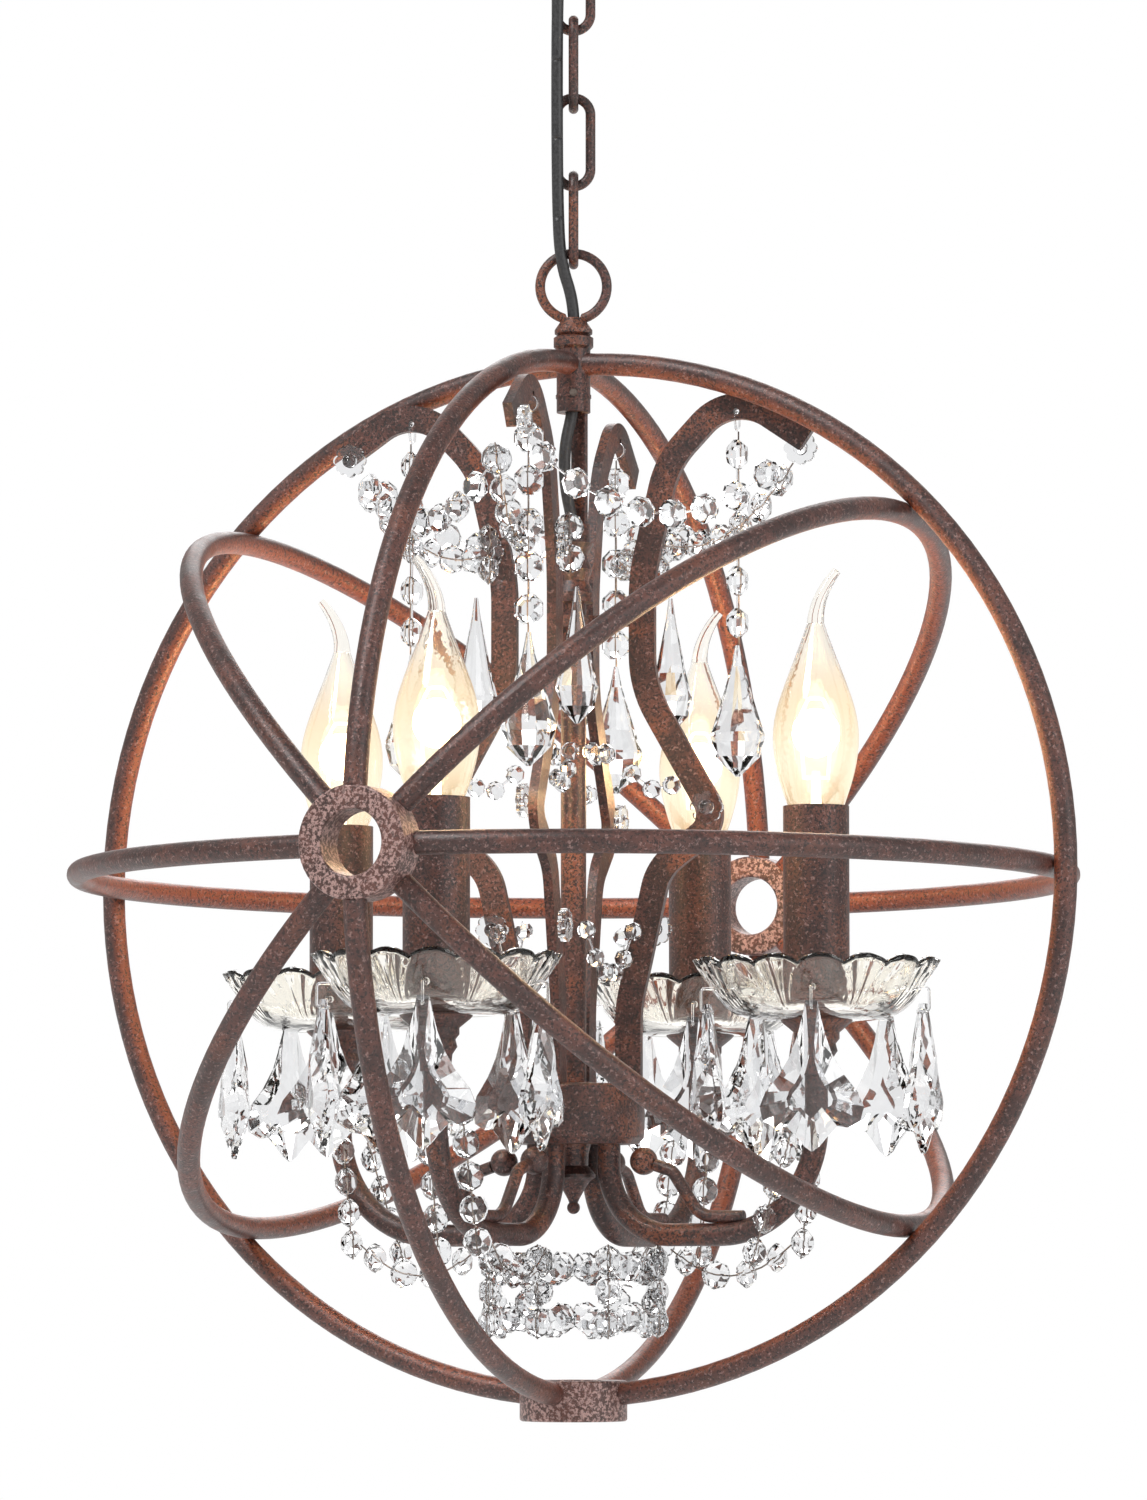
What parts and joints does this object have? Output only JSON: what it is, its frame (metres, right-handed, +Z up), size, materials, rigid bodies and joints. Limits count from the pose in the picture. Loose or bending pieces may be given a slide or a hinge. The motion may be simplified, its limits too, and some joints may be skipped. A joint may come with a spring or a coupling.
{
  "type": "orb chandelier",
  "caption": "Hanging light: an iron orb of crossed rings round a small crystal chandelier with glass dishes, cut drops and candle bulbs, on a chain.",
  "frame": {"origin": "on the ceiling, at the middle of the canopy and its mounting bar", "axes": "+Z up into the ceiling, -Y towards the orb's front hub, X along the mounting bar's slots"},
  "size_m": [0.4434, 0.4416, 0.6919],
  "materials": {
    "rusted_iron": "rough, rust-brown with dark specks",
    "crystal": "cut and polished, clear",
    "dish_glass": "pressed, clear with a warm tint",
    "bulb_glass": "clear",
    "filament": "glowing warm white",
    "brass_cap": "satin",
    "holder_plastic": "moulded",
    "block_plastic": "moulded",
    "cable_jacket": "matte",
    "screw_steel": "darkened"
  },
  "bodies": {
    "ceiling_mount": {"mounting_bar": "screw_steel", "canopy_cover": "rusted_iron", "canopy_fasteners": "screw_steel", "canopy_loop": "rusted_iron", "terminal_block": "block_plastic"},
    "link_1": {"chain_link_1": "rusted_iron"},
    "link_2": {"chain_link_2": "rusted_iron"},
    "link_3": {"chain_link_3": "rusted_iron"},
    "link_4": {"chain_link_4": "rusted_iron"},
    "orb": {"orb_loop": "rusted_iron", "hanging_stem": "rusted_iron", "stem_screw": "screw_steel", "supply_cable": "cable_jacket", "ring_upright_front": "rusted_iron", "ring_upright_side": "rusted_iron", "ring_equator": "rusted_iron", "ring_tilted_left": "rusted_iron", "ring_tilted_right": "rusted_iron", "hub_collars": "rusted_iron", "crown_cap": "rusted_iron", "column": "rusted_iron", "lyre_bracket": "rusted_iron", "hub_cup": "rusted_iron", "hub_lid": "rusted_iron", "wire_connectors": "block_plastic", "finial": "rusted_iron", "lyre_bar_1": "rusted_iron", "lyre_bar_2": "rusted_iron", "lyre_bar_3": "rusted_iron", "lyre_bar_4": "rusted_iron", "candle_arm_1": "rusted_iron", "candle_arm_2": "rusted_iron", "candle_arm_3": "rusted_iron", "candle_arm_4": "rusted_iron", "candle_cups": "rusted_iron", "candle_sleeve_1": "rusted_iron", "candle_sleeve_2": "rusted_iron", "candle_sleeve_3": "rusted_iron", "candle_sleeve_4": "rusted_iron", "lampholders": "holder_plastic", "bulb_caps": "brass_cap", "bulb_glasses": "bulb_glass", "bulb_filaments": "filament", "lyre_rosettes": "rusted_iron", "tip_garlands": "crystal", "neck_teardrops": "crystal", "column_beads": "crystal", "bead_basket": "crystal"},
    "dish_1": {"glass_dish_1": "dish_glass", "leaf_drops_1": "crystal"},
    "dish_2": {"glass_dish_2": "dish_glass", "leaf_drops_2": "crystal"},
    "dish_3": {"glass_dish_3": "dish_glass", "leaf_drops_3": "crystal"},
    "dish_4": {"glass_dish_4": "dish_glass", "leaf_drops_4": "crystal"},
    "teardrop_1": {"teardrop_strand_1": "crystal"},
    "teardrop_2": {"teardrop_strand_2": "crystal"},
    "teardrop_3": {"teardrop_strand_3": "crystal"},
    "teardrop_4": {"teardrop_strand_4": "crystal"}
  },
  "joints": [
    {"name": "chain_swing_1", "type": "hinge", "parent": "ceiling_mount", "child": "link_1", "pos_m": [0, 0, -0.0711], "axis": [0.3907, -0.9205, 0], "range_deg": [-15, 15], "deforming": ["supply_cable"]},
    {"name": "chain_swing_2", "type": "hinge", "parent": "link_1", "child": "link_2", "pos_m": [0, 0, -0.1044], "axis": [0.9205, 0.3907, 0], "range_deg": [-15, 15], "deforming": ["supply_cable"]},
    {"name": "chain_swing_3", "type": "hinge", "parent": "link_2", "child": "link_3", "pos_m": [0, 0, -0.1377], "axis": [0.3907, -0.9205, 0], "range_deg": [-15, 15], "deforming": ["supply_cable"]},
    {"name": "chain_swing_4", "type": "hinge", "parent": "link_3", "child": "link_4", "pos_m": [0, 0, -0.171], "axis": [0.9205, 0.3907, 0], "range_deg": [-15, 15], "deforming": ["supply_cable"]},
    {"name": "chain_swing_5", "type": "hinge", "parent": "link_4", "child": "orb", "pos_m": [0, 0, -0.2043], "axis": [0.3907, -0.9205, 0], "range_deg": [-15, 15], "deforming": ["supply_cable"]},
    {"name": "dish_turn_1", "type": "hinge", "parent": "orb", "child": "dish_1", "pos_m": [-0.01192, -0.11338, -0.5269], "axis": [0, 0, 1], "continuous": true},
    {"name": "dish_turn_2", "type": "hinge", "parent": "orb", "child": "dish_2", "pos_m": [0.11338, -0.01192, -0.5269], "axis": [0, 0, 1], "continuous": true},
    {"name": "dish_turn_3", "type": "hinge", "parent": "orb", "child": "dish_3", "pos_m": [0.01192, 0.11338, -0.5269], "axis": [0, 0, 1], "continuous": true},
    {"name": "dish_turn_4", "type": "hinge", "parent": "orb", "child": "dish_4", "pos_m": [-0.11338, 0.01192, -0.5269], "axis": [0, 0, 1], "continuous": true},
    {"name": "teardrop_swing_1", "type": "hinge", "parent": "orb", "child": "teardrop_1", "pos_m": [0.00988, -0.07031, -0.27], "axis": [-0.9903, -0.1392, 0], "range_deg": [-3, 8]},
    {"name": "teardrop_swing_2", "type": "hinge", "parent": "orb", "child": "teardrop_2", "pos_m": [0.07031, 0.00988, -0.27], "axis": [0.1392, -0.9903, 0], "range_deg": [-3, 8]},
    {"name": "teardrop_swing_3", "type": "hinge", "parent": "orb", "child": "teardrop_3", "pos_m": [-0.00988, 0.07031, -0.27], "axis": [0.9903, 0.1392, 0], "range_deg": [-3, 8]},
    {"name": "teardrop_swing_4", "type": "hinge", "parent": "orb", "child": "teardrop_4", "pos_m": [-0.07031, -0.00988, -0.27], "axis": [-0.1392, 0.9903, 0], "range_deg": [-3, 8]}
  ]
}
